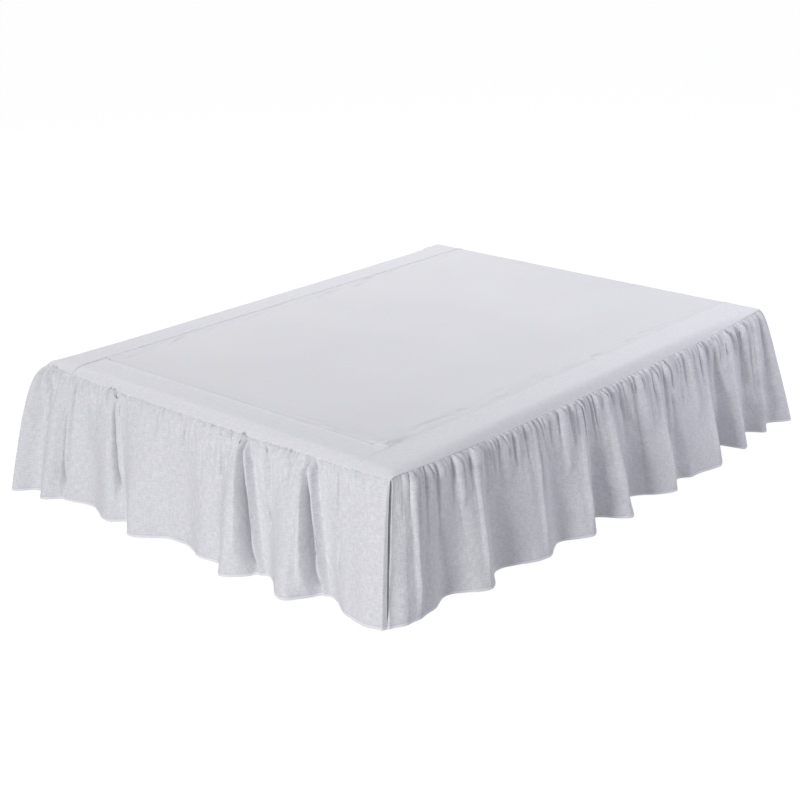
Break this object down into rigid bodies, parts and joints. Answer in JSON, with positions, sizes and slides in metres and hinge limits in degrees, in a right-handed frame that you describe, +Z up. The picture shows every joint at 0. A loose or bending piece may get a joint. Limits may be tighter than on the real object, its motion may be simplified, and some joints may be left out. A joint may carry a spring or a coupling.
{
  "type": "bed skirt on a box spring",
  "caption": "White linen bed skirt with a plain deck, facing strips and gathered ruffles on three sides, fitted over a plain box spring on legs.",
  "frame": {"origin": "on the floor under the middle of the object's box", "axes": "+Y from the foot of the bed to its open head end, +Z up, +X to the right seen from the foot"},
  "size_m": [1.8004, 2.2768, 0.4461],
  "materials": {
    "linen": "matt slub linen, white with a cool tint",
    "plain_cloth": "matt smooth plain weave, white",
    "ticking": "matt plain ticking",
    "leg_wood": "dark stain, satin"
  },
  "bodies": {
    "root": {"box_spring": "ticking", "leg_foot_left": "leg_wood", "leg_foot_right": "leg_wood", "leg_mid_left": "leg_wood", "leg_mid_right": "leg_wood", "leg_head_left": "leg_wood", "leg_head_right": "leg_wood", "deck": "plain_cloth", "foot_strip": "linen", "left_strip": "linen", "right_strip": "linen", "foot_ruffle": "linen", "left_ruffle": "linen", "right_ruffle": "linen"}
  },
  "joints": []
}
